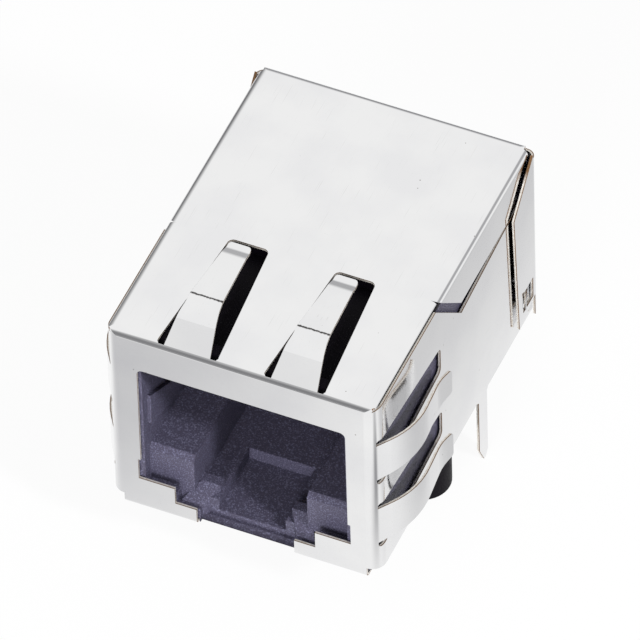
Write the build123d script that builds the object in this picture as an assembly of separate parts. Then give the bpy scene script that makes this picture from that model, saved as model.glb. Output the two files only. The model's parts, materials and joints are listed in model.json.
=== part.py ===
"""Shielded right-angle network jack with built-in isolation magnetics.

Millimetres. X runs across the jack, Y runs from the plug face to the back, Z is up.
While the pieces are drawn, Y starts at the plug face. Z starts at the board surface.
On export everything moves so that the point midway between the two pegs is the origin.
"""

from build123d import *
from math import radians, tan
import os

os.makedirs("parts", exist_ok=True)

# Shield envelope
SHIELD_W = 15.8
SHIELD_H = 13.6
SHIELD_D = 21.1
SHEET = 0.15
TOP_BEND = 0.45
SIDE_BEND = 0.5
FRONT_BEND = 0.8
HALF_W = SHIELD_W / 2
INNER_HALF_W = HALF_W - SHEET
PAST = 1  # how far a cut reaches past the face that it opens

# Plug opening in the front plate, a half width and a height for each step of its outline
BROW = 2.6
OPEN_TOP = SHIELD_H - BROW
OPEN_HALF = 6.05
OPEN_CORNER = 0.35
SHELF_Z = 2.3
NOTCH_HALF = 4.1
NOTCH_Z = 1.15
LEG_HALF = 2.86
LEG_FLANGE = 1.3
FOOT_BEND = 0.3
RELIEF_DEPTH = 0.15
RELIEF_TOP = 3.8

# Side panels, their seam with the top panel and the rear flanges of the top panel
PANEL_BOTTOM = 0.75
PANEL_SETBACK = 0.25
PANEL_REAR = SHIELD_D - SHEET - PANEL_SETBACK
SEAM = 0.16
PANEL_TOP = SHIELD_H - SHEET - SEAM
FLANGE_FRONT = 8.4
FLANGE_DROP = 2.9
LIP_GAP = 0.02
FLANGE_REAR = SHIELD_D - SHEET - LIP_GAP
STEP_GAP = 0.45
STEP_DROP = 0.8
LIP = 1.2

# Spring fingers. Each leaves its bend after the given turn and rises straight for a while.
# The later points are (distance from the plug face, height of the outer face over the panel).
FINGER_ROOT = 0.25
TOP_FINGER_TURN = 50
TOP_FINGER_RISE_END = 1.6
TOP_FINGER_POINTS = ((2.85, 1.5), (6.4, 1.22), (6.95, 1.06), (7.3, 1.14))
TOP_FINGER_RADII = (1.5, 0.5, 0.8, 0.5)
SIDE_FINGER_TURN = 57
SIDE_FINGER_RISE_END = 2.5
SIDE_FINGER_POINTS = ((6.25, 0.95), (7.25, 1.18))
SIDE_FINGER_RADII = (5.0, 3.0)

# Plan outlines of the fingers and their windows, from root to tip, as (along, half width)
TOP_FINGER_X = 3.1
TOP_FINGER_PLAN = ((0, 1.36), (2.3, 0.98), (7.3, 0.65))
TOP_WINDOW_PLAN = ((0.15, 1.78), (8.45, 1.15))
SIDE_FINGER_DROP = 4.5
LOW_FINGER_Z = 4.12
SIDE_FINGER_Z = (SHIELD_H - SIDE_FINGER_DROP, LOW_FINGER_Z)
SIDE_FINGER_PLAN = ((0, 1.36), (7.25, 0.88))
SIDE_WINDOW_PLAN = ((0.28, 1.72), (8.45, 0.92))
WINDOW_CUT = 0.45
TIP_ROUND = 0.22
SLIT_BEVEL = 0.12
WINDOW_ROUND = 0.35

# Rear shield, its wings, and the lock tabs of the front shield that catch in its windows
LAP = 0.12
WING_GAP = 0.05
WING_LENGTH = 3.2
WING_RAKE = 0.5
WING_BOTTOM = 1.5
WING_LIFT = 0.7
BACK_BOTTOM = 0.6
BACK_DROP = 0.65
REAR_BEND = 0.55
BUMP_RISE = 0.1
SIDE_BUMP_X = 6.6
SIDE_BUMP_W = 1.7
MIDDLE_BUMP_W = 1.1
LOCK_SETBACK = 0.8
LOCK_LENGTH = 1.4
LOCK_Z = (2.3, 3.8)
LOCK_LIFT = 0.4
LOCK_GAP = 0.15

# Moulded housing
FIT = 0.05
SIDE_FIT = 0.15
WALL = 0.9
REAR_GAP = 0.18
HOUSING_HALF = INNER_HALF_W - SIDE_FIT
FRONT_GAP = 0.1
HOUSING_FRONT = SHEET + FRONT_GAP
HOUSING_REAR = FLANGE_REAR - SHEET - REAR_GAP
HOUSING_TOP = SHIELD_H - SHEET - FIT
REVEAL = 0.15
PLUG_HALF = OPEN_HALF - REVEAL
PLUG_H = 6.75
PLUG_TOP = OPEN_TOP - FIT
PLUG_FLOOR = PLUG_TOP - PLUG_H
DIVIDER = 1.2
CHAMBER_LENGTH = 6.6
CHAMBER_FRONT = HOUSING_REAR - CHAMBER_LENGTH
CEILING = HOUSING_TOP - WALL
PLUG_DEPTH = CHAMBER_FRONT - DIVIDER
MOUTH_FLOOR = 1.7
RAIL_FRONT = 0.85
RAIL_CHAMFER = 0.3
CHANNEL_HALF = 3.3
CHANNEL_FLOOR = 1.4
NOTCH_REVEAL = 0.15
POCKET_HALF = 1.95
POCKET_FLOOR = 0.6
POCKET_REAR = 5.0
SILL_GAP = 0.11
SILL_HALF = LEG_HALF - SILL_GAP
SILL_REAR = 0.95
SILL_LEDGE = 0.75
SILL_LEDGE_Z = 0.25
SILL_SLOPE = 0.15
GUIDE_W = 1.1
GUIDE_FRONT = 0.45
GUIDE_RAMP_END = 1.5
GUIDE_REAR = 2.1
GUIDE_FRONT_X = 3.35
GUIDE_FRONT_Z = 1.15
GUIDE_BACK_X = 2.65
GUIDE_BACK_Z = 1.9
FLEX_HALF = 1.5
FLEX_FRONT = 1.3
FLEX_REAR = 8.6
FLEX_DEPTH = 0.6
PAD_DEPTH = 0.2
PAD_H = 2.2
PAD_REAR = 5.4
PAD_REAR_H = 1.2
PAD_REAR_LIFT = 0.2
PAD_FRONT_LIFT = 1.8

# Locating pegs and the shield tails behind them
PEG_X = 5.715
PEG_Y = 10.6
PEG_R = 1.6
PEG_LENGTH = 4.0
PEG_CHAMFER = 0.45
TAIL_OFFSET = 3.3
TAIL_W = 1.1
TAIL_END = -4.5
TAIL_FRONT_TIP = (0.6, 1.2)
TAIL_REAR_TIP = (0.3, 0.4)
TAIL_ROOT = 0.2

# Contacts and the carrier above the plug cavity
CONTACTS = 8
CONTACT_PITCH = 1.02
CONTACT_W = 0.4
CONTACT_T = 0.3
CONTACT_BEND = 0.35
CONTACT_CORNER_Y = 3.2
CONTACT_TIP_SETBACK = 2.2
CONTACT_TIP_Y = PLUG_DEPTH - CONTACT_TIP_SETBACK
CONTACT_DROP = 2.85
CONTACT_TIP_Z = PLUG_TOP - CONTACT_DROP
CARRIER_HALF = 6.3
CARRIER_FRONT = 4.8
CARRIER_LEAD = 0.9
CARRIER_ROOF = 0.57
GROOVE_GAP = 0.03
CARRIER_TOP = CEILING - FIT
CONTACT_RUN_Z = CARRIER_TOP - CARRIER_ROOF - GROOVE_GAP

# Magnetics, two rings above each other on each side, and small components on the board
WIRE = 0.25
WINDING_GAP = 1.2
CHOKE_R = 1.5
CHOKE_HOLE = 0.75
CHOKE_W = 1.2
TRANSFORMER_R = 1.95
TRANSFORMER_HOLE = 1.0
TRANSFORMER_W = 1.8
HEADROOM = 0.5
STACK_H = 2 * (CHOKE_R + TRANSFORMER_R) + 4 * WIRE
RESISTORS = 4
RESISTOR_PITCH = 3.3
RESISTOR_GAP = 0.6
RESISTOR = (1.6, 0.8, 0.45)
CAPACITOR = (3.2, 1.6, 1.6)
CAPACITOR_GAP = 0.3
MAGNETICS_X = CAPACITOR[0] / 2 + CAPACITOR_GAP + CHOKE_R + WIRE

# Rear chamber with its base, board and solder pins, stacked down from the magnetics
CHAMBER_HALF = HOUSING_HALF - WALL
POST = 0.8
POST_H = 0.8
BOARD_GAP = 0.15
BOARD_T = 0.8
BOARD_TOP = CEILING - HEADROOM - STACK_H
BOARD_BOTTOM = BOARD_TOP - BOARD_T
BASE_H = BOARD_BOTTOM - POST_H
BOARD_HALF = CHAMBER_HALF - BOARD_GAP
BOARD_FRONT = CHAMBER_FRONT + BOARD_GAP
BOARD_REAR = HOUSING_REAR - BOARD_GAP
PIN_SIZE = 0.46
PIN_PITCH = 1.27
PIN_ROW_GAP = 2.54
PIN_SETBACK = 2.95
PIN_FRONT_Y = CHAMBER_FRONT + PIN_SETBACK
PIN_END = -3.3
PIN_TIP = 0.1
PIN_PROUD = 0.5
HOLE_GAP = 0.04
LEG_SETBACK = 0.9
CONTACT_LEG_Y = CHAMBER_FRONT + LEG_SETBACK
MAGNETICS_Y = PIN_FRONT_Y + PIN_ROW_GAP / 2


def block(x0, x1, y0, y1, z0, z1):
    """Box between two corners."""
    return Pos((x0 + x1) / 2, (y0 + y1) / 2, (z0 + z1) / 2) * Box(x1 - x0, y1 - y0, z1 - z0)


def prism_yz(points, x0, x1):
    """Outline in Y and Z, carried along X."""
    face = Plane.YZ.offset(x0) * Polygon(*points, align=None)
    return extrude(face, amount=x1 - x0, dir=(1, 0, 0))


def prism_xz(points, y0, y1):
    """Outline in X and Z, carried along Y."""
    face = Plane.XZ.offset(-y0) * Polygon(*points, align=None)
    return extrude(face, amount=y1 - y0, dir=(0, 1, 0))


def prism_xy(points, z0, z1):
    """Outline in X and Y, carried along Z."""
    face = Plane.XY.offset(z0) * Polygon(*points, align=None)
    return extrude(face, amount=z1 - z0, dir=(0, 0, 1))


def both_sides(shape):
    """The shape and its mirror image across the jack."""
    return shape + mirror(shape, Plane.YZ)


def mirrored_outline(half):
    """Closed outline from the points of its right half."""
    return half + [(-x, other) for x, other in reversed(half)]


def bent_sheet(width, length, radius):
    """Section of a folded sheet: a hollow channel of the outer size, open towards -Y of the sketch."""
    outer = Pos(0, -length / 2) * Rectangle(width, length)
    inner = Pos(0, -length / 2 - SHEET) * Rectangle(width - 2 * SHEET, length)
    outer = fillet(outer.vertices().group_by(Axis.Y)[-1], radius)
    inner = fillet(inner.vertices().group_by(Axis.Y)[-1], radius - SHEET)
    return outer - inner


def finger_strip(bend, turn, rise_end, points, radii):
    """Side view of a spring finger: distance from the plug face, height over the panel."""
    corner = bend * (tan(radians(turn) / 2) - 1)
    rise = corner + rise_end / tan(radians(turn))
    route = [(0, -bend - FINGER_ROOT), (0, corner), (rise_end, rise), *points]
    path = FilletPolyline(*route, radius=(bend, *radii))
    return make_face(offset(path, amount=SHEET, side=Side.RIGHT, closed=True))


def across_along(plan):
    """Closed outline of a finger or window as (across, along) points."""
    return mirrored_outline([(half, along) for along, half in plan])


def round_rear(prism, axis, radius):
    """Round the rear corners of an outline carried along the axis."""
    return fillet(prism.edges().filter_by(axis).group_by(Axis.Y)[-1], radius)


def bevel_front(prism, axis, length):
    """Bevel the front corners of an outline carried along the axis."""
    return chamfer(prism.edges().filter_by(axis).group_by(Axis.Y)[0], length)


def top_finger():
    """Finger of the top panel, centred on X = 0."""
    strip = finger_strip(
        TOP_BEND, TOP_FINGER_TURN, TOP_FINGER_RISE_END, TOP_FINGER_POINTS, TOP_FINGER_RADII
    )
    root_half = TOP_FINGER_PLAN[0][1]
    bar = extrude(Plane.YZ * Pos(0, SHIELD_H) * strip, amount=root_half, both=True)
    plan = prism_xy(across_along(TOP_FINGER_PLAN), 0, 2 * SHIELD_H)
    return bar & round_rear(plan, Axis.Z, TIP_ROUND)


def side_finger():
    """Finger of the right side panel, centred on Z = 0."""
    strip = finger_strip(
        FRONT_BEND, SIDE_FINGER_TURN, SIDE_FINGER_RISE_END, SIDE_FINGER_POINTS, SIDE_FINGER_RADII
    )
    plane = Plane(origin=(HALF_W, 0, 0), x_dir=(0, 1, 0), z_dir=(0, 0, -1))
    bar = extrude(plane * strip, amount=SIDE_FINGER_PLAN[0][1], both=True)
    outline = [(along, across) for across, along in across_along(SIDE_FINGER_PLAN)]
    return bar & round_rear(prism_yz(outline, 0, SHIELD_W), Axis.X, TIP_ROUND)


def top_window():
    """Hole that a finger leaves in the top panel, centred on X = 0."""
    hole = prism_xy(across_along(TOP_WINDOW_PLAN), SHIELD_H - WINDOW_CUT, SHIELD_H + PAST)
    return bevel_front(round_rear(hole, Axis.Z, WINDOW_ROUND), Axis.Z, SLIT_BEVEL)


def side_window():
    """Hole that a finger leaves in the right side panel, centred on Z = 0."""
    outline = [(along, across) for across, along in across_along(SIDE_WINDOW_PLAN)]
    hole = prism_yz(outline, HALF_W - WINDOW_CUT, HALF_W + PAST)
    return bevel_front(round_rear(hole, Axis.X, WINDOW_ROUND), Axis.X, SLIT_BEVEL)


def plug_opening():
    """Stepped outline of the plug opening, cut through the front plate and the leg flanges."""
    half = [
        (LEG_HALF, -PAST),
        (LEG_HALF, NOTCH_Z),
        (NOTCH_HALF, NOTCH_Z),
        (NOTCH_HALF, SHELF_Z),
        (OPEN_HALF + RELIEF_DEPTH, SHELF_Z),
        (OPEN_HALF + RELIEF_DEPTH, RELIEF_TOP),
        (OPEN_HALF, RELIEF_TOP),
        (OPEN_HALF, OPEN_TOP),
    ]
    cut = prism_xz(mirrored_outline(half), -PAST, 2 * SHEET)
    cut = fillet(cut.edges().filter_by(Axis.Y).group_by(Axis.Z)[-1], OPEN_CORNER)
    return cut + block(-LEG_HALF, LEG_HALF, -PAST, LEG_FLANGE + PAST, -PAST, NOTCH_Z)


def wrap():
    """Front plate and both side panels, folded from one strip."""
    section = Rot(0, 0, 180) * bent_sheet(SHIELD_W, PANEL_REAR, FRONT_BEND)
    strip = extrude(section, amount=SHIELD_H)
    flange_z = SHIELD_H - FLANGE_DROP
    side_view = [
        (-PAST, PANEL_BOTTOM),
        (PANEL_REAR + PAST, PANEL_BOTTOM),
        (PANEL_REAR + PAST, flange_z - SEAM),
        (FLANGE_REAR - FLANGE_DROP, flange_z - SEAM),
        (FLANGE_FRONT + FLANGE_DROP, flange_z - STEP_DROP),
        (FLANGE_FRONT - STEP_GAP, PANEL_TOP),
        (TOP_BEND, PANEL_TOP),
        (0, SHIELD_H - TOP_BEND),
        (-PAST, SHIELD_H - TOP_BEND),
    ]
    return strip & prism_yz(side_view, -SHIELD_W, SHIELD_W)


def top_panel():
    """Top with its bends down into the front plate and into a rear lip, and rounded long edges."""
    section = Plane.YZ * Pos(FLANGE_REAR / 2, SHIELD_H) * bent_sheet(FLANGE_REAR, LIP, TOP_BEND)
    strip = extrude(section, amount=HALF_W, both=True)
    skin = Pos(0, SHIELD_H / 2) * Rectangle(SHIELD_W, SHIELD_H)
    skin = fillet(skin.vertices().group_by(Axis.Y)[-1], SIDE_BEND)
    strip &= extrude(Plane.XZ * skin, amount=SHIELD_D, dir=(0, 1, 0))
    neck = HALF_W - SIDE_BEND
    lip_half = neck + SIDE_BEND / 2
    rear = FLANGE_REAR - TOP_BEND
    half = [
        (HALF_W, 0),
        (HALF_W, FLANGE_FRONT),
        (neck, FLANGE_FRONT),
        (neck, rear),
        (lip_half, rear),
        (lip_half, FLANGE_REAR),
    ]
    mask = prism_xy(mirrored_outline(half), 0, SHIELD_H + PAST)
    mask = fillet(mask.edges().filter_by(Axis.Z).group_by(Axis.Y)[0], FRONT_BEND)
    return strip & round_rear(mask, Axis.Z, SIDE_BEND / 2)


def rear_flanges():
    """Rear part of the top panel with its flanges bent down over the sides."""
    length = FLANGE_REAR - TOP_BEND - FLANGE_FRONT
    plane = Plane.XZ.offset(-FLANGE_FRONT)
    section = plane * Pos(0, SHIELD_H) * bent_sheet(SHIELD_W, FLANGE_DROP, SIDE_BEND)
    hood = extrude(section, amount=length, dir=(0, 1, 0))
    low = SHIELD_H - FLANGE_DROP
    side_view = [
        (FLANGE_FRONT, SHIELD_H + PAST),
        (FLANGE_FRONT, SHIELD_H),
        (FLANGE_FRONT + FLANGE_DROP, low),
        (FLANGE_REAR - FLANGE_DROP, low),
        (FLANGE_REAR, SHIELD_H),
        (FLANGE_REAR, SHIELD_H + PAST),
    ]
    return hood & prism_yz(side_view, -SHIELD_W, SHIELD_W)


def feet():
    """Bottom edge of the front plate, bent under on both sides of the latch gap."""
    rise = PANEL_BOTTOM + SHEET
    outer = Pos(LEG_FLANGE / 2, rise / 2) * Rectangle(LEG_FLANGE, rise)
    outer = fillet(outer.vertices().sort_by_distance((0, 0, 0))[0], FOOT_BEND)
    inner = Pos(LEG_FLANGE / 2 + SHEET, rise / 2 + SHEET) * Rectangle(LEG_FLANGE, rise)
    inner = fillet(inner.vertices().sort_by_distance((0, 0, 0))[0], FOOT_BEND - SHEET)
    return extrude(Plane.YZ * (outer - inner), amount=HALF_W - FRONT_BEND, both=True)


def shield_tail():
    """Solder tail of the right side panel."""
    middle = PEG_Y + TAIL_OFFSET
    front, rear = middle - TAIL_W / 2, middle + TAIL_W / 2
    outline = [
        (front - TAIL_ROOT, PANEL_BOTTOM + SHEET),
        (rear + TAIL_ROOT, PANEL_BOTTOM + SHEET),
        (rear + TAIL_ROOT, PANEL_BOTTOM),
        (rear, PANEL_BOTTOM - TAIL_ROOT),
        (rear, TAIL_END + TAIL_REAR_TIP[1]),
        (rear - TAIL_REAR_TIP[0], TAIL_END),
        (front + TAIL_FRONT_TIP[0], TAIL_END),
        (front, TAIL_END + TAIL_FRONT_TIP[1]),
        (front, PANEL_BOTTOM - TAIL_ROOT),
        (front - TAIL_ROOT, PANEL_BOTTOM),
    ]
    return prism_yz(outline, INNER_HALF_W, HALF_W)


def lock_y():
    """Front and rear end of the lock window."""
    rear = SHIELD_D - LOCK_SETBACK
    return rear - LOCK_LENGTH, rear


def lock_hole():
    """Hole in the right side panel that the lock tab leaves."""
    front, rear = lock_y()
    return block(HALF_W - 2 * SHEET, HALF_W + PAST, front + LOCK_GAP, rear - LOCK_GAP, *LOCK_Z)


def lock_tab():
    """Tab lanced outwards from the right side panel, behind which the rear shield catches."""
    front, rear = lock_y()
    out = HALF_W + LOCK_LIFT
    plan = [
        (INNER_HALF_W, rear - LOCK_GAP),
        (HALF_W, rear - LOCK_GAP),
        (out, front + LOCK_GAP),
        (out - SHEET, front + LOCK_GAP),
    ]
    return prism_xy(plan, LOCK_Z[0] + LOCK_GAP, LOCK_Z[1] - LOCK_GAP)


def front_shield():
    """Main shield: every wall but the back, with fingers, feet, tails and lock tabs."""
    shell = wrap() + top_panel() + rear_flanges() + feet()
    shell -= plug_opening() + both_sides(lock_hole())
    shell += both_sides(lock_tab()) + both_sides(shield_tail())
    for x in (-TOP_FINGER_X, TOP_FINGER_X):
        shell -= Pos(x, 0, 0) * top_window()
        shell += Pos(x, 0, 0) * top_finger()
    for z in SIDE_FINGER_Z:
        shell -= both_sides(Pos(0, 0, z) * side_window())
        shell += both_sides(Pos(0, 0, z) * side_finger())
    return shell


def rear_shield():
    """Back plate with side wings that lap over the side panels."""
    width = SHIELD_W + 2 * (LAP + SHEET)
    section = Pos(0, SHIELD_D) * bent_sheet(width, WING_LENGTH, REAR_BEND)
    strip = extrude(section, amount=SHIELD_H)
    wing_front = SHIELD_D - WING_LENGTH
    bend = SHIELD_D - REAR_BEND
    top = SHIELD_H - BACK_DROP
    slope = SHIELD_H - FLANGE_REAR - WING_GAP
    side_view = [
        (wing_front + WING_RAKE, WING_BOTTOM),
        (bend, WING_BOTTOM + WING_LIFT),
        (bend, BACK_BOTTOM),
        (SHIELD_D, BACK_BOTTOM),
        (SHIELD_D, top),
        (bend, top),
        (bend, bend + slope),
        (wing_front, wing_front + slope),
    ]
    cover = strip & prism_yz(side_view, -SHIELD_W, SHIELD_W)
    bumps = [(-SIDE_BUMP_X, SIDE_BUMP_W), (0, MIDDLE_BUMP_W), (SIDE_BUMP_X, SIDE_BUMP_W)]
    for x, bump_w in bumps:
        left, right = x - bump_w / 2, x + bump_w / 2
        cover += block(left, right, SHIELD_D - SHEET, SHIELD_D, top - SHEET, top + BUMP_RISE)
    return cover - block(-SHIELD_W, SHIELD_W, *lock_y(), *LOCK_Z)


def guide_block():
    """Ramped block beside the latch channel, on the right."""
    front = Pos(GUIDE_FRONT_X, GUIDE_FRONT_Z / 2) * Rectangle(GUIDE_W, GUIDE_FRONT_Z)
    back = Pos(GUIDE_BACK_X, GUIDE_BACK_Z / 2) * Rectangle(GUIDE_W, GUIDE_BACK_Z)
    low = Plane.XZ.offset(-GUIDE_FRONT) * front
    high = Plane.XZ.offset(-GUIDE_RAMP_END) * back
    ramp = loft([low.face(), high.face()], ruled=True)
    inner = GUIDE_BACK_X - GUIDE_W / 2
    return ramp + block(inner, CHANNEL_HALF + FIT, GUIDE_RAMP_END, GUIDE_REAR, 0, GUIDE_BACK_Z)


def wall_pad():
    """Raised pad on the right wall of the plug cavity, sloping down towards the back."""
    low, rear_low = PLUG_FLOOR + PAD_FRONT_LIFT, PLUG_FLOOR + PAD_REAR_LIFT
    outline = [
        (RAIL_FRONT, low + PAD_H),
        (RAIL_FRONT, low),
        (PAD_REAR, rear_low),
        (PAD_REAR, rear_low + PAD_REAR_H),
    ]
    return prism_yz(outline, PLUG_HALF - PAD_DEPTH, PLUG_HALF + FIT)


def plug_space():
    """Hollow that takes the plug: mouth, cavity, latch channel and latch pocket."""
    space = block(-PLUG_HALF, PLUG_HALF, 0, PLUG_DEPTH, PLUG_FLOOR, PLUG_TOP)
    space += block(-PLUG_HALF, PLUG_HALF, 0, RAIL_FRONT, MOUTH_FLOOR, PLUG_TOP)
    space += block(-CHANNEL_HALF, CHANNEL_HALF, 0, PLUG_DEPTH, CHANNEL_FLOOR, PLUG_FLOOR)
    space += block(-NOTCH_HALF, NOTCH_HALF, 0, RAIL_FRONT, NOTCH_Z - NOTCH_REVEAL, PLUG_FLOOR)
    space += block(-POCKET_HALF, POCKET_HALF, 0, POCKET_REAR, POCKET_FLOOR, CHANNEL_FLOOR)
    sill = [
        (0, CHANNEL_FLOOR),
        (SILL_REAR, CHANNEL_FLOOR),
        (SILL_REAR, SILL_LEDGE_Z),
        (SILL_LEDGE, SILL_LEDGE_Z),
        (HOUSING_FRONT + SILL_SLOPE, -FIT),
        (0, -FIT),
    ]
    space += prism_yz(sill, -SILL_HALF, SILL_HALF)
    edge_y = RAIL_FRONT + RAIL_CHAMFER
    rail_edge = [
        (RAIL_FRONT, PLUG_FLOOR - RAIL_CHAMFER),
        (RAIL_FRONT, PLUG_FLOOR),
        (edge_y, PLUG_FLOOR),
    ]
    return space + prism_yz(rail_edge, -PLUG_HALF, PLUG_HALF)


def jack_housing():
    """Black moulding with the plug cavity, the rear chamber and the pegs."""
    body = block(-HOUSING_HALF, HOUSING_HALF, HOUSING_FRONT, HOUSING_REAR, 0, HOUSING_TOP)
    body = chamfer(body.edges().filter_by(Axis.Z).group_by(Axis.Y)[0], FRONT_BEND - SHEET)
    body = chamfer(body.faces().sort_by(Axis.Z)[-1].edges(), TOP_BEND)
    body -= plug_space()
    body += both_sides(guide_block()) + both_sides(wall_pad())
    slot_half = CARRIER_HALF + FIT
    slot_front = CARRIER_FRONT - CARRIER_LEAD
    body -= block(-slot_half, slot_half, slot_front, CHAMBER_FRONT, PLUG_TOP, CARRIER_TOP + FIT)
    body -= block(-CHAMBER_HALF, CHAMBER_HALF, CHAMBER_FRONT, HOUSING_REAR + PAST, -PAST, CEILING)
    flex_room = block(
        TOP_FINGER_X - FLEX_HALF,
        TOP_FINGER_X + FLEX_HALF,
        FLEX_FRONT,
        FLEX_REAR,
        HOUSING_TOP - FLEX_DEPTH,
        HOUSING_TOP + PAST,
    )
    body -= both_sides(flex_room)
    foot_rear = LEG_FLANGE + FIT
    foot_room = block(LEG_HALF - FIT, HOUSING_HALF + PAST, 0, foot_rear, -PAST, SHEET + FIT)
    body -= both_sides(foot_room)
    peg = Pos(PEG_X, PEG_Y, (SHEET - PEG_LENGTH) / 2) * Cylinder(PEG_R, PEG_LENGTH + SHEET)
    peg = chamfer(peg.edges().group_by(Axis.Z)[0], PEG_CHAMFER)
    return body + both_sides(peg)


def row_place(index, count, pitch):
    """Sideways place of one of a row of equal things, counted from 0."""
    return (index - (count - 1) / 2) * pitch


def contact_carrier():
    """Insert above the plug cavity with one groove for each contact."""
    rear = CHAMBER_FRONT - FIT
    carrier = block(-CARRIER_HALF, CARRIER_HALF, CARRIER_FRONT, rear, PLUG_TOP, CARRIER_TOP)
    half = CONTACT_W / 2 + GROOVE_GAP
    top = CONTACT_RUN_Z + GROOVE_GAP
    for index in range(CONTACTS):
        x = row_place(index, CONTACTS, CONTACT_PITCH)
        carrier -= block(x - half, x + half, 0, CHAMBER_FRONT, 0, top)
    return carrier


def contact():
    """Spring contact: leg on the board, run through the carrier, hairpin, spring arm."""
    leg_y = CONTACT_LEG_Y - CONTACT_T / 2
    run_z = CONTACT_RUN_Z - CONTACT_T / 2
    path = FilletPolyline(
        (leg_y, BOARD_TOP),
        (leg_y, run_z),
        (CONTACT_CORNER_Y, run_z),
        (CONTACT_TIP_Y, CONTACT_TIP_Z),
        radius=CONTACT_BEND,
    )
    strip = trace(path, line_width=CONTACT_T)
    return extrude(Plane.YZ * strip, amount=CONTACT_W / 2, both=True)


def pin_places():
    """Place of each solder pin in two staggered rows."""
    places = []
    for index in range(CONTACTS):
        row = index % 2
        places.append((row_place(index, CONTACTS, PIN_PITCH), PIN_FRONT_Y + row * PIN_ROW_GAP))
    return places


def pin_holes(half, z0, z1):
    """Square holes for all the solder pins."""
    holes = [block(x - half, x + half, y - half, y + half, z0, z1) for x, y in pin_places()]
    return Part() + holes


def solder_pin():
    """Square pin with a chamfered tip, centred on X = Y = 0."""
    half = PIN_SIZE / 2
    pin = block(-half, half, -half, half, PIN_END, BOARD_TOP + PIN_PROUD)
    return chamfer(pin.faces().sort_by(Axis.Z)[0].edges(), PIN_TIP)


def pin_block():
    """Base of the rear chamber with a square hole for each pin and four posts for the board."""
    half = CHAMBER_HALF - FIT
    base = block(-half, half, CHAMBER_FRONT + FIT, HOUSING_REAR, 0, BASE_H)
    inner = BOARD_HALF - POST
    for front in (BOARD_FRONT, BOARD_REAR - POST):
        base += both_sides(block(inner, BOARD_HALF, front, front + POST, 0, BOARD_BOTTOM))
    return base - pin_holes(PIN_SIZE / 2, -PAST, BOARD_BOTTOM)


def magnetics_board():
    """Circuit board with a clear hole for each pin."""
    board = block(-BOARD_HALF, BOARD_HALF, BOARD_FRONT, BOARD_REAR, BOARD_BOTTOM, BOARD_TOP)
    return board - pin_holes(PIN_SIZE / 2 + HOLE_GAP, BOARD_BOTTOM, BOARD_TOP)


def ring(outer_r, inner_r, width):
    """Ring with its axis along Y, centred on the origin."""
    return Rot(90, 0, 0) * (Cylinder(outer_r, width) - Cylinder(inner_r, width))


def winding(core_r, hole_r, width):
    """Layer of wire wound round a ring core, open over a short stretch at the top."""
    wound = ring(core_r + WIRE, hole_r - WIRE, width + 2 * WIRE) - ring(core_r, hole_r, width)
    half_gap = WINDING_GAP / 2
    return wound - block(-half_gap, half_gap, -width, width, 0, 2 * core_r)


def on_board(x, y, size):
    """Small block of the given length, width and height that stands on the board."""
    return Pos(x, y, BOARD_TOP + size[2] / 2) * Box(*size)


def save(shape, name):
    """Write one piece, moved so that the origin is midway between the pegs."""
    export_step(Pos(0, -PEG_Y, 0) * shape, "parts/" + name + ".step")


save(front_shield(), "front_shield")
save(rear_shield(), "rear_shield")
save(jack_housing(), "jack_housing")
save(contact_carrier(), "contact_carrier")
save(pin_block(), "pin_block")
save(magnetics_board(), "magnetics_board")

spring = contact()
for number in range(CONTACTS):
    place = row_place(number, CONTACTS, CONTACT_PITCH)
    save(Pos(place, 0, 0) * spring, f"contact_{number + 1}")

pin = solder_pin()
for number, (pin_x, pin_y) in enumerate(pin_places()):
    save(Pos(pin_x, pin_y, 0) * pin, f"solder_pin_{number + 1}")

choke_z = BOARD_TOP + CHOKE_R + WIRE
transformer_z = choke_z + CHOKE_R + TRANSFORMER_R + 2 * WIRE
for number, side in enumerate((-1, 1)):
    choke_spot = Pos(side * MAGNETICS_X, MAGNETICS_Y, choke_z)
    choke_core = ring(CHOKE_R, CHOKE_HOLE, CHOKE_W)
    choke_wire = winding(CHOKE_R, CHOKE_HOLE, CHOKE_W)
    save(choke_spot * choke_core, f"choke_core_{number + 1}")
    save(choke_spot * choke_wire, f"choke_winding_{number + 1}")
    transformer_spot = Pos(side * MAGNETICS_X, MAGNETICS_Y, transformer_z)
    transformer_core = ring(TRANSFORMER_R, TRANSFORMER_HOLE, TRANSFORMER_W)
    transformer_wire = winding(TRANSFORMER_R, TRANSFORMER_HOLE, TRANSFORMER_W)
    save(transformer_spot * transformer_core, f"transformer_core_{number + 1}")
    save(transformer_spot * transformer_wire, f"transformer_winding_{number + 1}")

resistor_y = CONTACT_LEG_Y + RESISTOR_GAP + RESISTOR[1] / 2
for number in range(RESISTORS):
    resistor_x = row_place(number, RESISTORS, RESISTOR_PITCH)
    save(on_board(resistor_x, resistor_y, RESISTOR), f"resistor_{number + 1}")

save(on_board(0, MAGNETICS_Y, CAPACITOR), "shield_capacitor")
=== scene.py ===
# Shielded network jack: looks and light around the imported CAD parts, all in metres
import json
import math

import bpy
from mathutils import Matrix, Vector
from mathutils.bvhtree import BVHTree


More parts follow.
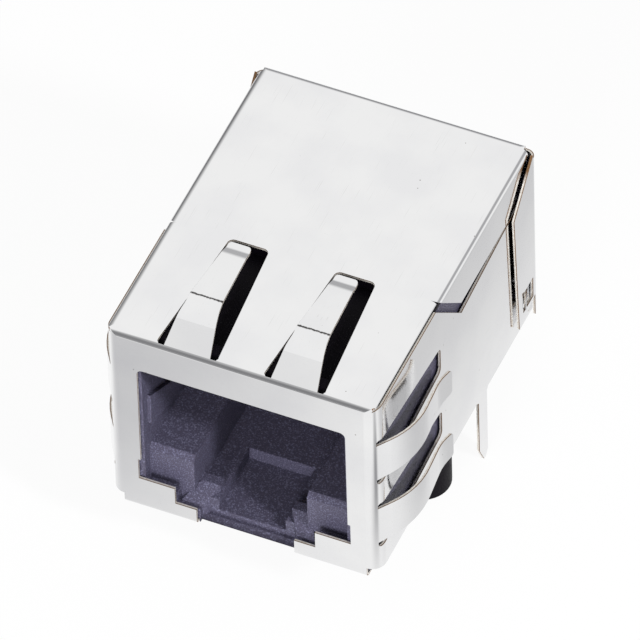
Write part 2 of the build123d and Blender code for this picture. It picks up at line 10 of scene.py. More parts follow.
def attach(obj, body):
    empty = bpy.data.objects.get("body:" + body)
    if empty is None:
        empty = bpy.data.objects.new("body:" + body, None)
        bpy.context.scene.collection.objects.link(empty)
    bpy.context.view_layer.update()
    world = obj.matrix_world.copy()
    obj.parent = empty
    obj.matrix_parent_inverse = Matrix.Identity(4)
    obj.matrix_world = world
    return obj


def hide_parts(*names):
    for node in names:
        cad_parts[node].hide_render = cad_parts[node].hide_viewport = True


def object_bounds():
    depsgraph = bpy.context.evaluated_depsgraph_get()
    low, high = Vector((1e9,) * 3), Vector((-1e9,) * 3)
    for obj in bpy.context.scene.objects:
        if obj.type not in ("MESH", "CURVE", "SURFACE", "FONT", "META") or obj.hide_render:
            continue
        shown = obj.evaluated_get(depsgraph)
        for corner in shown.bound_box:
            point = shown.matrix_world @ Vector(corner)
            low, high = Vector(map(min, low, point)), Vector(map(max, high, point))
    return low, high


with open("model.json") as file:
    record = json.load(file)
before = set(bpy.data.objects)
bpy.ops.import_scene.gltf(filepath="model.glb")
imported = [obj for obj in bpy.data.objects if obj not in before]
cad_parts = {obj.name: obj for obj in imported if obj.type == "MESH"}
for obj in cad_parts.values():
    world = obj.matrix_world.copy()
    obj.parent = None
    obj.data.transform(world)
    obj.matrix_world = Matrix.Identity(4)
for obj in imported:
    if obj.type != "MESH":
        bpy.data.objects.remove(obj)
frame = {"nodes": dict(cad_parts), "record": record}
for spare in ("Cube", "Light", "Camera"):  # what a fresh Blender file brings along
    if spare in bpy.data.objects:
        bpy.data.objects.remove(bpy.data.objects[spare])
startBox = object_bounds()
mm = 0.001
print("frame loaded:", len(frame["nodes"]), "CAD nodes")


def fromHex(code):
    # sRGB hex to the linear values that shaders take
    channels = [int(code[i:i + 2], 16) / 255 for i in (1, 3, 5)]
    linear = [c / 12.92 if c <= 0.04045 else ((c + 0.055) / 1.055) ** 2.4 for c in channels]
    return (*linear, 1.0)


def perMm(size):
    # texture scale at which one feature is this many millimetres wide
    return 1 / (size * mm)


def addNode(tree, kind, settings=None, links=None):
    # settings go to the socket of that name or number, else to the node itself, and a hex
    # code goes in as linear colour
    node = tree.nodes.new(kind)
    for key, value in (settings or {}).items():
        if isinstance(value, str) and value.startswith("#"):
            value = fromHex(value)
        if isinstance(key, int) or key in node.inputs:
            node.inputs[key].default_value = value
        else:
            setattr(node, key, value)
    for key, source in (links or {}).items():
        tree.links.new(source, node.inputs[key])
    return node


def emptyMaterial(name):
    material = bpy.data.materials.new(name)
    material.use_nodes = True
    material.node_tree.nodes.clear()
    return material, material.node_tree


def newMaterial(name):
    # a fresh material with its shader, and the object's own coordinates in metres
    material, tree = emptyMaterial(name)
    shader = addNode(tree, "ShaderNodeBsdfPrincipled")
    addNode(tree, "ShaderNodeOutputMaterial", links={"Surface": shader.outputs[0]})
    place = addNode(tree, "ShaderNodeTexCoord").outputs
    return material, tree, shader, place


# Bright tin over nickel on rolled copper-alloy strip: a pale mirror, slightly clouded,
# with the faint lines of the rolling and a few specks and rubs from the press tool
tinPlate = {
    "clean": "#EDEDED",
    "cloud": "#E8E8E9",
    "cloudSize": 3.5,
    "cloudBand": (0.4, 0.65),  # noise values between which the clean plate turns cloudy
    "roughness": (0.055, 0.1),
    "dullBand": (0.35, 0.7),
    "rollLine": (0.05, 2.5),  # width and length of a rolling line
    "rub": "#D5D5D4",
    "rubBand": (0.66, 0.74),
    "rubShare": 0.5,
    "speck": "#8E8A86",
    "speckCell": 1.1,
    "speckRadius": (0.024, 0.04),  # of its core and with its soft border, as shares of a cell
    "speckShare": 0.4,  # cells that have a speck
    "grainSize": 0.12,
    "grainDepth": 0.0004,
    "grainStrength": 0.5,
    "edgeRadius": 0.012,
    # painted shade: the dark line of the crease on the crest of each top finger
    "creaseShade": "#4C4A4A",
    "creaseLine": (-7.75, 0.075),  # along Y and half its width, across the crest of each top finger
    "creaseCore": 0.4,  # share of that half width that has the full tone
    "creaseBand": (0.3, 0.7),  # grain values that push the crease to one side and to the other
    "crestHeight": 14.4,  # only the top fingers reach above this
}


def makeTinPlate(spec):
    material, tree, shader, place = newMaterial("tin_over_nickel_sheet")
    shader.inputs["Metallic"].default_value = 1.0
    here = {"Vector": place["Object"]}
    cloud = addNode(tree, "ShaderNodeTexNoise", {"Scale": perMm(spec["cloudSize"]), "Detail": 4.0},
                    here).outputs[0]
    grain = addNode(tree, "ShaderNodeTexNoise", {"Scale": perMm(spec["grainSize"]), "Detail": 3.0},
                    here).outputs[0]
    width, length = spec["rollLine"]
    drawn = addNode(tree, "ShaderNodeMapping",
                    {"Scale": (perMm(width), perMm(length), perMm(width))}, here).outputs[0]
    rolling = addNode(tree, "ShaderNodeTexNoise", {"Scale": 1.0, "Detail": 2.0},
                      {"Vector": drawn}).outputs[0]

    # clean plate, cloudy in places and rubbed along some of the rolling lines
    start, end = spec["cloudBand"]
    cloudy = addNode(tree, "ShaderNodeMapRange", {"From Min": start, "From Max": end},
                     {"Value": cloud}).outputs[0]
    plain = addNode(tree, "ShaderNodeMix", {"data_type": "RGBA", 6: spec["clean"], 7: spec["cloud"]},
                    {0: cloudy}).outputs[2]
    start, end = spec["rubBand"]
    rub = addNode(tree, "ShaderNodeMapRange",
                  {"From Min": start, "From Max": end, "To Max": spec["rubShare"]},
                  {"Value": rolling}).outputs[0]
    rubbed = addNode(tree, "ShaderNodeMix", {"data_type": "RGBA", 7: spec["rub"]},
                     {0: rub, 6: plain}).outputs[2]

    # a speck at the middle of some of the cells
    cells = addNode(tree, "ShaderNodeTexVoronoi", {"Scale": perMm(spec["speckCell"])}, here).outputs
    core, border = spec["speckRadius"]
    near = addNode(tree, "ShaderNodeMapRange",
                   {"From Min": core, "From Max": border, "To Min": 1.0, "To Max": 0.0},
                   {"Value": cells["Distance"]}).outputs[0]
    draw = addNode(tree, "ShaderNodeSeparateColor", None, {0: cells["Color"]}).outputs[0]
    chosen = addNode(tree, "ShaderNodeMath", {"operation": "LESS_THAN", 1: spec["speckShare"]},
                     {0: draw}).outputs[0]
    speck = addNode(tree, "ShaderNodeMath", {"operation": "MULTIPLY"},
                    {0: near, 1: chosen}).outputs[0]
    specked = addNode(tree, "ShaderNodeMix", {"data_type": "RGBA", 7: spec["speck"]},
                      {0: speck, 6: rubbed}).outputs[2]

    # painted shade along the crease that the press leaves across each top finger: a dark line with a
    # ragged border
    axes = addNode(tree, "ShaderNodeSeparateXYZ", None, {0: place["Object"]}).outputs
    creaseAt, halfWidth = (size * mm for size in spec["creaseLine"])
    coreHalf = halfWidth * spec["creaseCore"]
    start, end = spec["creaseBand"]
    ragged = addNode(tree, "ShaderNodeMapRange",
                     {"From Min": start, "From Max": end, "To Min": -coreHalf, "To Max": coreHalf},
                     {"Value": grain}).outputs[0]
    along = addNode(tree, "ShaderNodeMath", {"operation": "ADD"}, {0: axes[1], 1: ragged}).outputs[0]
    toLine = addNode(tree, "ShaderNodeMath", {"operation": "SUBTRACT", 1: creaseAt},
                     {0: along}).outputs[0]
    offLine = addNode(tree, "ShaderNodeMath", {"operation": "ABSOLUTE"}, {0: toLine}).outputs[0]
    onLine = addNode(tree, "ShaderNodeMapRange",
                     {"From Min": coreHalf, "From Max": halfWidth, "To Min": 1.0, "To Max": 0.0},
                     {"Value": offLine}).outputs[0]
    onCrest = addNode(tree, "ShaderNodeMath",
                      {"operation": "GREATER_THAN", 1: spec["crestHeight"] * mm},
                      {0: axes[2]}).outputs[0]
    creaseShade = addNode(tree, "ShaderNodeMath", {"operation": "MULTIPLY"},
                     {0: onLine, 1: onCrest}).outputs[0]
    colour = addNode(tree, "ShaderNodeMix", {"data_type": "RGBA", 7: spec["creaseShade"]},
                     {0: creaseShade, 6: specked}).outputs[2]
    tree.links.new(colour, shader.inputs["Base Color"])

    start, end = spec["dullBand"]
    smooth, dull = spec["roughness"]
    roughness = addNode(tree, "ShaderNodeMapRange",
                        {"From Min": start, "From Max": end, "To Min": smooth, "To Max": dull},
                        {"Value": cloud}).outputs[0]
    tree.links.new(roughness, shader.inputs["Roughness"])
    rounded = addNode(tree, "ShaderNodeBevel", {"samples": 6, "Radius": spec["edgeRadius"] * mm})
    relief = addNode(tree, "ShaderNodeMath", {"operation": "ADD"}, {0: grain, 1: rolling}).outputs[0]
    bump = addNode(tree, "ShaderNodeBump",
                   {"Strength": spec["grainStrength"], "Distance": spec["grainDepth"] * mm},
                   {"Height": relief, "Normal": rounded.outputs[0]})
    tree.links.new(bump.outputs[0], shader.inputs["Normal"])
    return material


# The strip's cut edges: the punch smears tin over most of the thickness, which stays pale and
# bright, and leaves bare brown bronze in a thin line along the outer skin
shearedBronze = {
    "smeared": "#E2DFDA",
    "drawn": "#C9C0B4",
    "bare": "#75573A",
    "bareShare": 0.34,
    "softShare": 0.1,  # over which the smear gives way to the bare line, to each side
    "metallic": 0.45,  # the torn surface scatters like a dull one
    "roughness": (0.16, 0.5),
    "streakSize": 0.12,
    "streakBand": (0.35, 0.7),
}


def makeShearedBronze(spec):
    material, tree, shader, place = newMaterial("sheared_bronze_edge")
    shader.inputs["Metallic"].default_value = spec["metallic"]
    noise = addNode(tree, "ShaderNodeTexNoise", {"Scale": perMm(spec["streakSize"]), "Detail": 2.0},
                    {"Vector": place["Object"]}).outputs[0]
    start, end = spec["streakBand"]
    streak = addNode(tree, "ShaderNodeMapRange", {"From Min": start, "From Max": end},
                     {"Value": noise}).outputs[0]
    land = addNode(tree, "ShaderNodeMix",
                   {"data_type": "RGBA", 6: spec["smeared"], 7: spec["drawn"]}, {0: streak}).outputs[2]
    toSkin = addNode(tree, "ShaderNodeAttribute", {"attribute_name": "toSkin"}).outputs["Fac"]
    bareFrom = 1 - spec["bareShare"]
    bare = addNode(tree, "ShaderNodeMapRange",
                   {"From Min": bareFrom - spec["softShare"], "From Max": bareFrom + spec["softShare"]},
                   {"Value": toSkin}).outputs[0]
    colour = addNode(tree, "ShaderNodeMix", {"data_type": "RGBA", 7: spec["bare"]},
                     {0: bare, 6: land}).outputs[2]
    tree.links.new(colour, shader.inputs["Base Color"])
    smooth, torn = spec["roughness"]
    roughness = addNode(tree, "ShaderNodeMapRange", {"To Min": smooth, "To Max": torn},
                        {"Value": bare}).outputs[0]
    tree.links.new(roughness, shader.inputs["Roughness"])
    return material


# Glass-filled PBT, moulded against a spark-eroded tool: blue-black and matt, with a fine
# sandy grain and paler fibre ends. The pegs and the pocket floors under the top fingers get
# painted shade: they are painted nearly black and reflect less, for the shade that falls on them
moulding = {
    "skin": "#454253",
    "fibre": "#7A7A94",
    "fibreSize": 0.08,
    "fibreBand": (0.5, 0.78),
    "refraction": 1.54,
    "roughness": (0.4, 0.65),
    "dullBand": (0.3, 0.7),
    "grainSize": 0.07,
    "grainDepth": 0.012,
    "grainStrength": 0.6,
    "edgeRadius": 0.08,
    # painted shade: the near black given to the pegs and the pocket floors
    "dark": "#0B080E",
    "specular": (0.3, 0.06),  # of the sandy skin, and of the pegs and pockets under their painted shade
    "pegTop": (-0.2, 0.4),  # heights between which the painted shade on the pegs gives way to the sandy skin
    "pocketFloor": (12.5, 12.7),  # and the sandy skin to the painted shade of the pocket floors
}


def makeMoulding(spec):
    material, tree, shader, place = newMaterial("glass_filled_pbt")
    shader.inputs["IOR"].default_value = spec["refraction"]
    here = {"Vector": place["Object"]}
    fibre = addNode(tree, "ShaderNodeTexNoise", {"Scale": perMm(spec["fibreSize"]), "Detail": 3.0},
                    here).outputs[0]
    grain = addNode(tree, "ShaderNodeTexNoise", {"Scale": perMm(spec["grainSize"]), "Detail": 2.0},
                    here).outputs[0]
    start, end = spec["fibreBand"]
    ends = addNode(tree, "ShaderNodeMapRange", {"From Min": start, "From Max": end},
                   {"Value": fibre}).outputs[0]
    sandy = addNode(tree, "ShaderNodeMix", {"data_type": "RGBA", 6: spec["skin"], 7: spec["fibre"]},
                    {0: ends}).outputs[2]

    height = addNode(tree, "ShaderNodeSeparateXYZ", None, {0: place["Object"]}).outputs[2]
    low, high = (level * mm for level in spec["pegTop"])
    pegShade = addNode(tree, "ShaderNodeMapRange",
                     {"From Min": low, "From Max": high, "To Min": 1.0, "To Max": 0.0},
                     {"Value": height}).outputs[0]
    low, high = (level * mm for level in spec["pocketFloor"])
    pocketShade = addNode(tree, "ShaderNodeMapRange", {"From Min": low, "From Max": high},
                       {"Value": height}).outputs[0]
    # painted shade over the pegs and the pocket floors, which also reflect less
    dark = addNode(tree, "ShaderNodeMath", {"operation": "MAXIMUM"},
                   {0: pegShade, 1: pocketShade}).outputs[0]
    colour = addNode(tree, "ShaderNodeMix", {"data_type": "RGBA", 7: spec["dark"]},
                     {0: dark, 6: sandy}).outputs[2]
    tree.links.new(colour, shader.inputs["Base Color"])
    sandyGloss, darkGloss = spec["specular"]
    gloss = addNode(tree, "ShaderNodeMapRange", {"To Min": sandyGloss, "To Max": darkGloss},
                    {"Value": dark}).outputs[0]
    tree.links.new(gloss, shader.inputs["Specular IOR Level"])

    start, end = spec["dullBand"]
    smooth, dull = spec["roughness"]
    roughness = addNode(tree, "ShaderNodeMapRange",
                        {"From Min": start, "From Max": end, "To Min": smooth, "To Max": dull},
                        {"Value": grain}).outputs[0]
    tree.links.new(roughness, shader.inputs["Roughness"])
    rounded = addNode(tree, "ShaderNodeBevel", {"samples": 6, "Radius": spec["edgeRadius"] * mm})
    bump = addNode(tree, "ShaderNodeBump",
                   {"Strength": spec["grainStrength"], "Distance": spec["grainDepth"] * mm},
                   {"Height": grain, "Normal": rounded.outputs[0]})
    tree.links.new(bump.outputs[0], shader.inputs["Normal"])
    return material


# Metals of the contacts and pins: gold flash over nickel is warm and clear,
# hot-dipped tin is cooler and a little wavy
goldFlash = {"name": "gold_flash", "high": "#EBC071", "low": "#C99A4E", "roughness": (0.16, 0.28),
             "dullBand": (0.3, 0.7), "mottleSize": 0.5}
dippedTin = {"name": "hot_dipped_tin", "high": "#DDDDDB", "low": "#C2C2C0", "roughness": (0.24, 0.38),
             "dullBand": (0.3, 0.7), "mottleSize": 0.35}


def makeDippedMetal(spec):
    material, tree, shader, place = newMaterial(spec["name"])
    shader.inputs["Metallic"].default_value = 1.0
    mottle = addNode(tree, "ShaderNodeTexNoise", {"Scale": perMm(spec["mottleSize"]), "Detail": 3.0},
                     {"Vector": place["Object"]}).outputs[0]
    colour = addNode(tree, "ShaderNodeMix", {"data_type": "RGBA", 6: spec["high"], 7: spec["low"]},
                     {0: mottle}).outputs[2]
    tree.links.new(colour, shader.inputs["Base Color"])
    start, end = spec["dullBand"]
    smooth, dull = spec["roughness"]
    roughness = addNode(tree, "ShaderNodeMapRange",
                        {"From Min": start, "From Max": end, "To Min": smooth, "To Max": dull},
                        {"Value": mottle}).outputs[0]
    tree.links.new(roughness, shader.inputs["Roughness"])
    return material


# FR-4 under green solder mask: the glass cloth shows as a faint weave through the gloss
solderMask = {"dark": "#17452A", "light": "#25663D", "weave": 0.45, "roughness": 0.3, "gloss": 0.4}


def makeSolderMask(spec):
    material, tree, shader, place = newMaterial("solder_mask_on_fr4")
    shader.inputs["Roughness"].default_value = spec["roughness"]
    shader.inputs["Coat Weight"].default_value = spec["gloss"]
    threads = []
    for direction in ("X", "Y"):
        threads.append(addNode(tree, "ShaderNodeTexWave",
                               {"bands_direction": direction, "Scale": perMm(spec["weave"]) / math.tau},
                               {"Vector": place["Object"]}).outputs[1])
    weave = addNode(tree, "ShaderNodeMath", {"operation": "MULTIPLY"},
                    {0: threads[0], 1: threads[1]}).outputs[0]
    colour = addNode(tree, "ShaderNodeMix", {"data_type": "RGBA", 6: spec["dark"], 7: spec["light"]},
                     {0: weave}).outputs[2]
    tree.links.new(colour, shader.inputs["Base Color"])
    return material


# Sintered ferrite: dull charcoal with a fine pressed grain
ferrite = {"grain": "#343436", "dust": "#4C4C4E", "roughness": 0.62, "grainSize": 0.12,
           "grainDepth": 0.01, "grainStrength": 0.5}


def makeFerrite(spec):
    material, tree, shader, place = newMaterial("sintered_ferrite")
    shader.inputs["Roughness"].default_value = spec["roughness"]
    grain = addNode(tree, "ShaderNodeTexNoise", {"Scale": perMm(spec["grainSize"]), "Detail": 4.0},
                    {"Vector": place["Object"]}).outputs[0]
    colour = addNode(tree, "ShaderNodeMix", {"data_type": "RGBA", 6: spec["grain"], 7: spec["dust"]},
                     {0: grain}).outputs[2]
    tree.links.new(colour, shader.inputs["Base Color"])
    bump = addNode(tree, "ShaderNodeBump",
                   {"Strength": spec["grainStrength"], "Distance": spec["grainDepth"] * mm},
                   {"Height": grain})
    tree.links.new(bump.outputs[0], shader.inputs["Normal"])
    return material


# Enamelled copper wire, wound: a turn every 15 degrees round the ring, glossy red-brown, with painted
# shade in the grooves between the turns
magnetWire = {"crest": "#A8562A", "groove": "#5A2913", "turns": 24, "depth": 0.05,
              "strength": 0.8, "roughness": 0.28, "enamel": 0.5}


def makeMagnetWire(spec):
    material, tree, shader, place = newMaterial("enamelled_copper_wire")
    shader.inputs["Roughness"].default_value = spec["roughness"]
    shader.inputs["Coat Weight"].default_value = spec["enamel"]
    centred = addNode(tree, "ShaderNodeVectorMath", {"operation": "SUBTRACT", 1: (0.5, 0.5, 0.5)},
                      {0: place["Generated"]}).outputs[0]
    parts = addNode(tree, "ShaderNodeSeparateXYZ", None, {0: centred}).outputs
    angle = addNode(tree, "ShaderNodeMath", {"operation": "ARCTAN2"},
                    {0: parts[2], 1: parts[0]}).outputs[0]
    turned = addNode(tree, "ShaderNodeMath", {"operation": "MULTIPLY", 1: float(spec["turns"])},
                     {0: angle}).outputs[0]
    wave = addNode(tree, "ShaderNodeMath", {"operation": "COSINE"}, {0: turned}).outputs[0]
    crest = addNode(tree, "ShaderNodeMapRange", {"From Min": -1.0, "From Max": 1.0},
                    {"Value": wave}).outputs[0]
    # painted shade: darker in the grooves between the turns
    colour = addNode(tree, "ShaderNodeMix", {"data_type": "RGBA", 6: spec["groove"], 7: spec["crest"]},
                     {0: crest}).outputs[2]
    tree.links.new(colour, shader.inputs["Base Color"])
    bump = addNode(tree, "ShaderNodeBump",
                   {"Strength": spec["strength"], "Distance": spec["depth"] * mm}, {"Height": crest})
    tree.links.new(bump.outputs[0], shader.inputs["Normal"])
    return material


# Chip parts: a fired ceramic or glazed body between two tinned ends
chipResistor = {"name": "glazed_chip_resistor", "body": "#1E1E20", "ends": "#CFCFCD", "endShare": 0.2,
                "speckleSize": 0.15, "speckleBand": (0.4, 0.8), "speckle": 0.4, "roughness": 0.35}
chipCapacitor = dict(chipResistor, name="fired_chip_capacitor", body="#A98B5E", endShare=0.18)


def makeChip(spec):
    material, tree, shader, place = newMaterial(spec["name"])
    shader.inputs["Roughness"].default_value = spec["roughness"]
    along = addNode(tree, "ShaderNodeSeparateXYZ", None, {0: place["Generated"]}).outputs[0]
    offset = addNode(tree, "ShaderNodeMath", {"operation": "SUBTRACT", 1: 0.5}, {0: along}).outputs[0]
    fromMiddle = addNode(tree, "ShaderNodeMath", {"operation": "ABSOLUTE"}, {0: offset}).outputs[0]
    end = addNode(tree, "ShaderNodeMath", {"operation": "GREATER_THAN", 1: 0.5 - spec["endShare"]},
                  {0: fromMiddle}).outputs[0]
    noise = addNode(tree, "ShaderNodeTexNoise", {"Scale": perMm(spec["speckleSize"]), "Detail": 3.0},
                    {"Vector": place["Object"]}).outputs[0]
    low, high = spec["speckleBand"]
    speckle = addNode(tree, "ShaderNodeMapRange",
                      {"From Min": low, "From Max": high, "To Max": spec["speckle"]},
                      {"Value": noise}).outputs[0]
    fired = addNode(tree, "ShaderNodeMix", {"data_type": "RGBA", 6: spec["body"], 7: spec["ends"]},
                    {0: speckle}).outputs[2]
    colour = addNode(tree, "ShaderNodeMix", {"data_type": "RGBA", 7: spec["ends"]},
                     {0: end, 6: fired}).outputs[2]
    tree.links.new(colour, shader.inputs["Base Color"])
    tree.links.new(end, shader.inputs["Metallic"])
    return material


finishes = {
    "shield_plating": makeTinPlate(tinPlate),
    "black_moulding": makeMoulding(moulding),
    "contact_alloy": makeDippedMetal(goldFlash),
    "pin_tin": makeDippedMetal(dippedTin),
    "board_laminate": makeSolderMask(solderMask),
    "ferrite": makeFerrite(ferrite),
    "enamelled_wire": makeMagnetWire(magnetWire),
    "resistor_film": makeChip(chipResistor),
    "capacitor_ceramic": makeChip(chipCapacitor),
}
bareEdge = makeShearedBronze(shearedBronze)
for subpart in frame["record"]["subparts"]:
    node = frame["nodes"][subpart["node"]]
    for materialSlot in node.material_slots:
        materialSlot.material = finishes[subpart["material_slot"]]
print("materials made and given to the CAD nodes:", len(finishes) + 1)


# The two shields again, with their cut edges told apart from the plated faces
sheetPiece = {
    "thickness": 0.15,
    "slack": 0.05,
    "start": 0.001,  # how far under its own face a ray starts
    "reach": 100,
    "digits": 4,  # of a corner's place in millimetres, to know it again
}


def plateShield(nodeName, spec):
    # a ray sent inwards leaves a plated face after one sheet thickness, and a cut edge much later
    mesh = frame["nodes"][nodeName].data.copy()
    piece = bpy.data.objects.new(nodeName + "_plated", mesh)
    bpy.context.scene.collection.objects.link(piece)
    mesh.materials.clear()
    mesh.materials.append(finishes["shield_plating"])
    mesh.materials.append(bareEdge)
    corners = [vertex.co for vertex in mesh.vertices]
    spots = [tuple(round(c / mm, spec["digits"]) for c in corner) for corner in corners]
    middle = sum(corners, Vector()) / len(corners)
    tree = BVHTree.FromPolygons(corners, [list(face.vertices) for face in mesh.polygons])
    throughSheet = (spec["thickness"] + spec["slack"]) * mm
    outerSkin = set()
    for face in mesh.polygons:
        inward = -face.normal
        hit = tree.ray_cast(face.center + inward * spec["start"] * mm, inward, spec["reach"] * mm)
        plated = hit[3] is not None and hit[3] < throughSheet
        face.material_index = 0 if plated else 1
        if plated and face.normal.dot(face.center - middle) > 0:
            outerSkin.update(spots[v] for v in face.vertices)
    toSkin = mesh.attributes.new("toSkin", "FLOAT", "CORNER")
    for face in mesh.polygons:
        for loop, vertex in zip(face.loop_indices, face.vertices):
            toSkin.data[loop].value = 1.0 if spots[vertex] in outerSkin else 0.0
    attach(piece, "root")
    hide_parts(nodeName)
    cutFaces = sum(face.material_index for face in mesh.polygons)
    print(nodeName, "cut edge faces:", cutFaces, "of", len(mesh.polygons))


for shieldNode in ("front_shield", "rear_shield"):
    plateShield(shieldNode, sheetPiece)


def seenDirectly(tree):
    # 1 for what the eye sees straight, in a mirror or through glass, and 0 for bounced light
    path = addNode(tree, "ShaderNodeLightPath").outputs
    direct = addNode(tree, "ShaderNodeMath", {"operation": "MAXIMUM"},
                     {0: path["Is Camera Ray"], 1: path["Is Glossy Ray"]}).outputs[0]
    return addNode(tree, "ShaderNodeMath", {"operation": "MAXIMUM"},
                   {0: direct, 1: path["Is Transmission Ray"]}).outputs[0]


def stagePlane(name, wide, tall, material):
    x, y = wide / 2 * mm, tall / 2 * mm
    mesh = bpy.data.meshes.new(name)
    mesh.from_pydata([(-x, -y, 0), (x, -y, 0), (x, y, 0), (-x, y, 0)], [], [(0, 1, 2, 3)])
    mesh.materials.append(material)
    piece = bpy.data.objects.new(name, mesh)
    bpy.context.scene.collection.objects.link(piece)
    return piece


# A sheet of white paper under the tails: matt, and lifted to plain white for the eye
paper = {
    "size": 900,
    "colour": "#F4F4F4",
    "glow": 0.93,  # share of plain white that the eye and the mirrors see over the shading
}


def makePaper(spec):
    material, tree = emptyMaterial("white_paper")
    matt = addNode(tree, "ShaderNodeBsdfDiffuse", {"Color": spec["colour"]})
    white = addNode(tree, "ShaderNodeEmission", {"Color": "#FFFFFF", "Strength": 1.0})
    share = addNode(tree, "ShaderNodeMath", {"operation": "MULTIPLY", 1: spec["glow"]},
                    {0: seenDirectly(tree)}).outputs[0]
    shown = addNode(tree, "ShaderNodeMixShader", None,
                    {0: share, 1: matt.outputs[0], 2: white.outputs[0]})
    addNode(tree, "ShaderNodeOutputMaterial", links={"Surface": shown.outputs[0]})
    piece = stagePlane("paper", spec["size"], spec["size"], material)
    piece.location.z = startBox[0].z  # the tips of the tails stand on it


# Grey cards with soft borders that only mirrors see: the tones of the plating's bends come
# from them. Places and sizes in millimetres; the standing ones face the jack
cards = [
    {"name": "front_card", "centre": (-42, -125, 1), "wide": 330, "tall": 338, "tone": "#8A8A8C",
     "border": 0.35},
    {"name": "left_card", "centre": (-110, 92, 1), "wide": 240, "tall": 306, "tone": "#727274",
     "border": 0.5},
    {"name": "rear_card", "centre": (-30, 130, 1), "wide": 150, "tall": 285, "tone": "#808084",
     "border": 0.5},
    {"name": "right_card", "centre": (110, 92, 40), "wide": 120, "tall": 90, "tone": "#B4B4B6",
     "border": 0.3},
    {"name": "front_floor_card", "centre": (-28, -84, -4.3), "wide": 190, "tall": 100,
     "tone": "#9C9C9E", "border": 0.22},
    {"name": "left_floor_card", "centre": (-62, 66, -4.3), "wide": 110, "tall": 76,
     "tone": "#98989A", "border": 0.3},
    {"name": "left_shade_card", "centre": (-20, -24, -4.2), "wide": 54, "tall": 38,
     "tone": "#D2D2D4", "border": 0.4},
    {"name": "right_shade_card", "centre": (24, 14, -4.3), "wide": 34, "tall": 52,
     "tone": "#D6D6D7", "border": 0.25},
    {"name": "corner_shade_card", "centre": (18, -15, -4.1), "wide": 20, "tall": 11,
     "tone": "#A0A0A2", "border": 0.5},
]


def makeCard(spec):
    # across and up run from -1 to 1 over the card; its tone fades out over the border
    material, tree = emptyMaterial(spec["name"])
    tone = addNode(tree, "ShaderNodeEmission", {"Color": spec["tone"], "Strength": 1.0})
    clear = addNode(tree, "ShaderNodeBsdfTransparent")
    place = addNode(tree, "ShaderNodeTexCoord").outputs["Object"]
    flat = addNode(tree, "ShaderNodeMapping",
                   {"Scale": (2 / (spec["wide"] * mm), 2 / (spec["tall"] * mm), 0)},
                   {"Vector": place}).outputs[0]
    sides = addNode(tree, "ShaderNodeSeparateXYZ", None, {0: flat}).outputs
    fades = []
    for side in (sides[0], sides[1]):
        out = addNode(tree, "ShaderNodeMath", {"operation": "ABSOLUTE"}, {0: side}).outputs[0]
        fade = addNode(tree, "ShaderNodeMapRange",
                       {"interpolation_type": "SMOOTHSTEP", "From Min": 1 - 2 * spec["border"],
                        "From Max": 1.0, "To Min": 1.0, "To Max": 0.0}, {"Value": out})
        fades.append(fade.outputs[0])
    share = addNode(tree, "ShaderNodeMath", {"operation": "MULTIPLY"},
                    {0: fades[0], 1: fades[1]}).outputs[0]
    shown = addNode(tree, "ShaderNodeMixShader", None,
                    {0: share, 1: clear.outputs[0], 2: tone.outputs[0]})
    addNode(tree, "ShaderNodeOutputMaterial", links={"Surface": shown.outputs[0]})
    piece = stagePlane(spec["name"], spec["wide"], spec["tall"], material)
    piece.location = Vector(spec["centre"]) * mm
    standing = piece.location.z > 0
    if standing:
        piece.rotation_euler = piece.location.to_track_quat("Z", "Y").to_euler()
    piece.visible_camera = False
    piece.visible_diffuse = False
    piece.visible_shadow = False


# An even white room: full white for the eye and the mirrors, and weaker as a light
room = {"ambient": 0.34}


def makeRoom(spec):
    world = bpy.data.worlds.new("white_room")
    bpy.context.scene.world = world
    world.use_nodes = True
    tree = world.node_tree
    tree.nodes.clear()
    level = addNode(tree, "ShaderNodeMix", {2: spec["ambient"], 3: 1.0},
                    {0: seenDirectly(tree)}).outputs[0]
    sky = addNode(tree, "ShaderNodeBackground", {"Color": "#FFFFFF"}, {"Strength": level})
    addNode(tree, "ShaderNodeOutputWorld", links={"Surface": sky.outputs[0]})


# Two soft lamps: a small one from the upper right, and a broad one from low in front that
# reaches into the plug opening
lamps = [
    {"name": "key_light", "from": (0.75, -0.3, 0.6), "distance": 420, "size": 50, "watts": 1.2},
    {"name": "front_light", "from": (0.1, -0.93, 0.32), "distance": 420, "size": 170, "watts": 1.7},
]


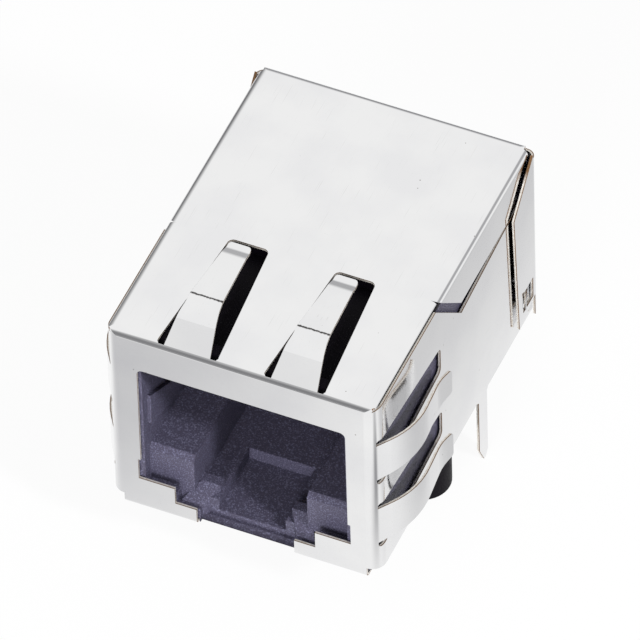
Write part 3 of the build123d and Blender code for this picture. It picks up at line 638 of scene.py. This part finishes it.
def makeLamp(spec):
    light = bpy.data.lights.new(spec["name"], "AREA")
    light.shape = "DISK"
    light.size = spec["size"] * mm
    light.energy = spec["watts"]
    lamp = bpy.data.objects.new(spec["name"], light)
    bpy.context.scene.collection.objects.link(lamp)
    away = Vector(spec["from"]).normalized()
    lamp.location = away * spec["distance"] * mm
    lamp.rotation_euler = away.to_track_quat("Z", "Y").to_euler()
    lamp.visible_glossy = False  # the plating mirrors the even white room and not the lamp


makePaper(paper)
for card in cards:
    makeCard(card)
makeRoom(room)
for lamp in lamps:
    makeLamp(lamp)
print("paper, cards, room and lamps set:", len(cards), "cards,", len(lamps), "lamps")


# The photograph's view: a long lens from the right, well above the plug face
cameraFit = {
    "azimuth": 24.948,
    "elevation": 47.554,
    "roll": -1.816,
    "target": (1.084, -2.6, 9.821),  # millimetres, the point in the middle of the picture
    "distance": 748.2,
    "focalPixels": 14000,
    "picturePixels": 640,
    "sensor": 36,
    "clip": (0.01, 10.0),  # metres
}


def makeCamera(spec):
    turn, lift, roll = (math.radians(spec[key]) for key in ("azimuth", "elevation", "roll"))
    forward = Vector((-math.sin(turn) * math.cos(lift), math.cos(turn) * math.cos(lift),
                      -math.sin(lift)))
    level = Vector((math.cos(turn), math.sin(turn), 0))
    upright = level.cross(forward)
    right = level * math.cos(roll) + upright * math.sin(roll)
    up = upright * math.cos(roll) - level * math.sin(roll)
    eye = (Vector(spec["target"]) - forward * spec["distance"]) * mm
    lens = bpy.data.cameras.new("long_lens")
    lens.sensor_width = spec["sensor"]
    lens.lens = spec["focalPixels"] / spec["picturePixels"] * spec["sensor"]
    lens.clip_start, lens.clip_end = spec["clip"]
    camera = bpy.data.objects.new("long_lens", lens)
    bpy.context.scene.collection.objects.link(camera)
    axes = Matrix((right, up, -forward)).transposed()
    camera.matrix_world = Matrix.Translation(eye) @ axes.to_4x4()
    bpy.context.scene.camera = camera


makeCamera(cameraFit)
bpy.context.scene.view_settings.view_transform = "Standard"
print("camera set")
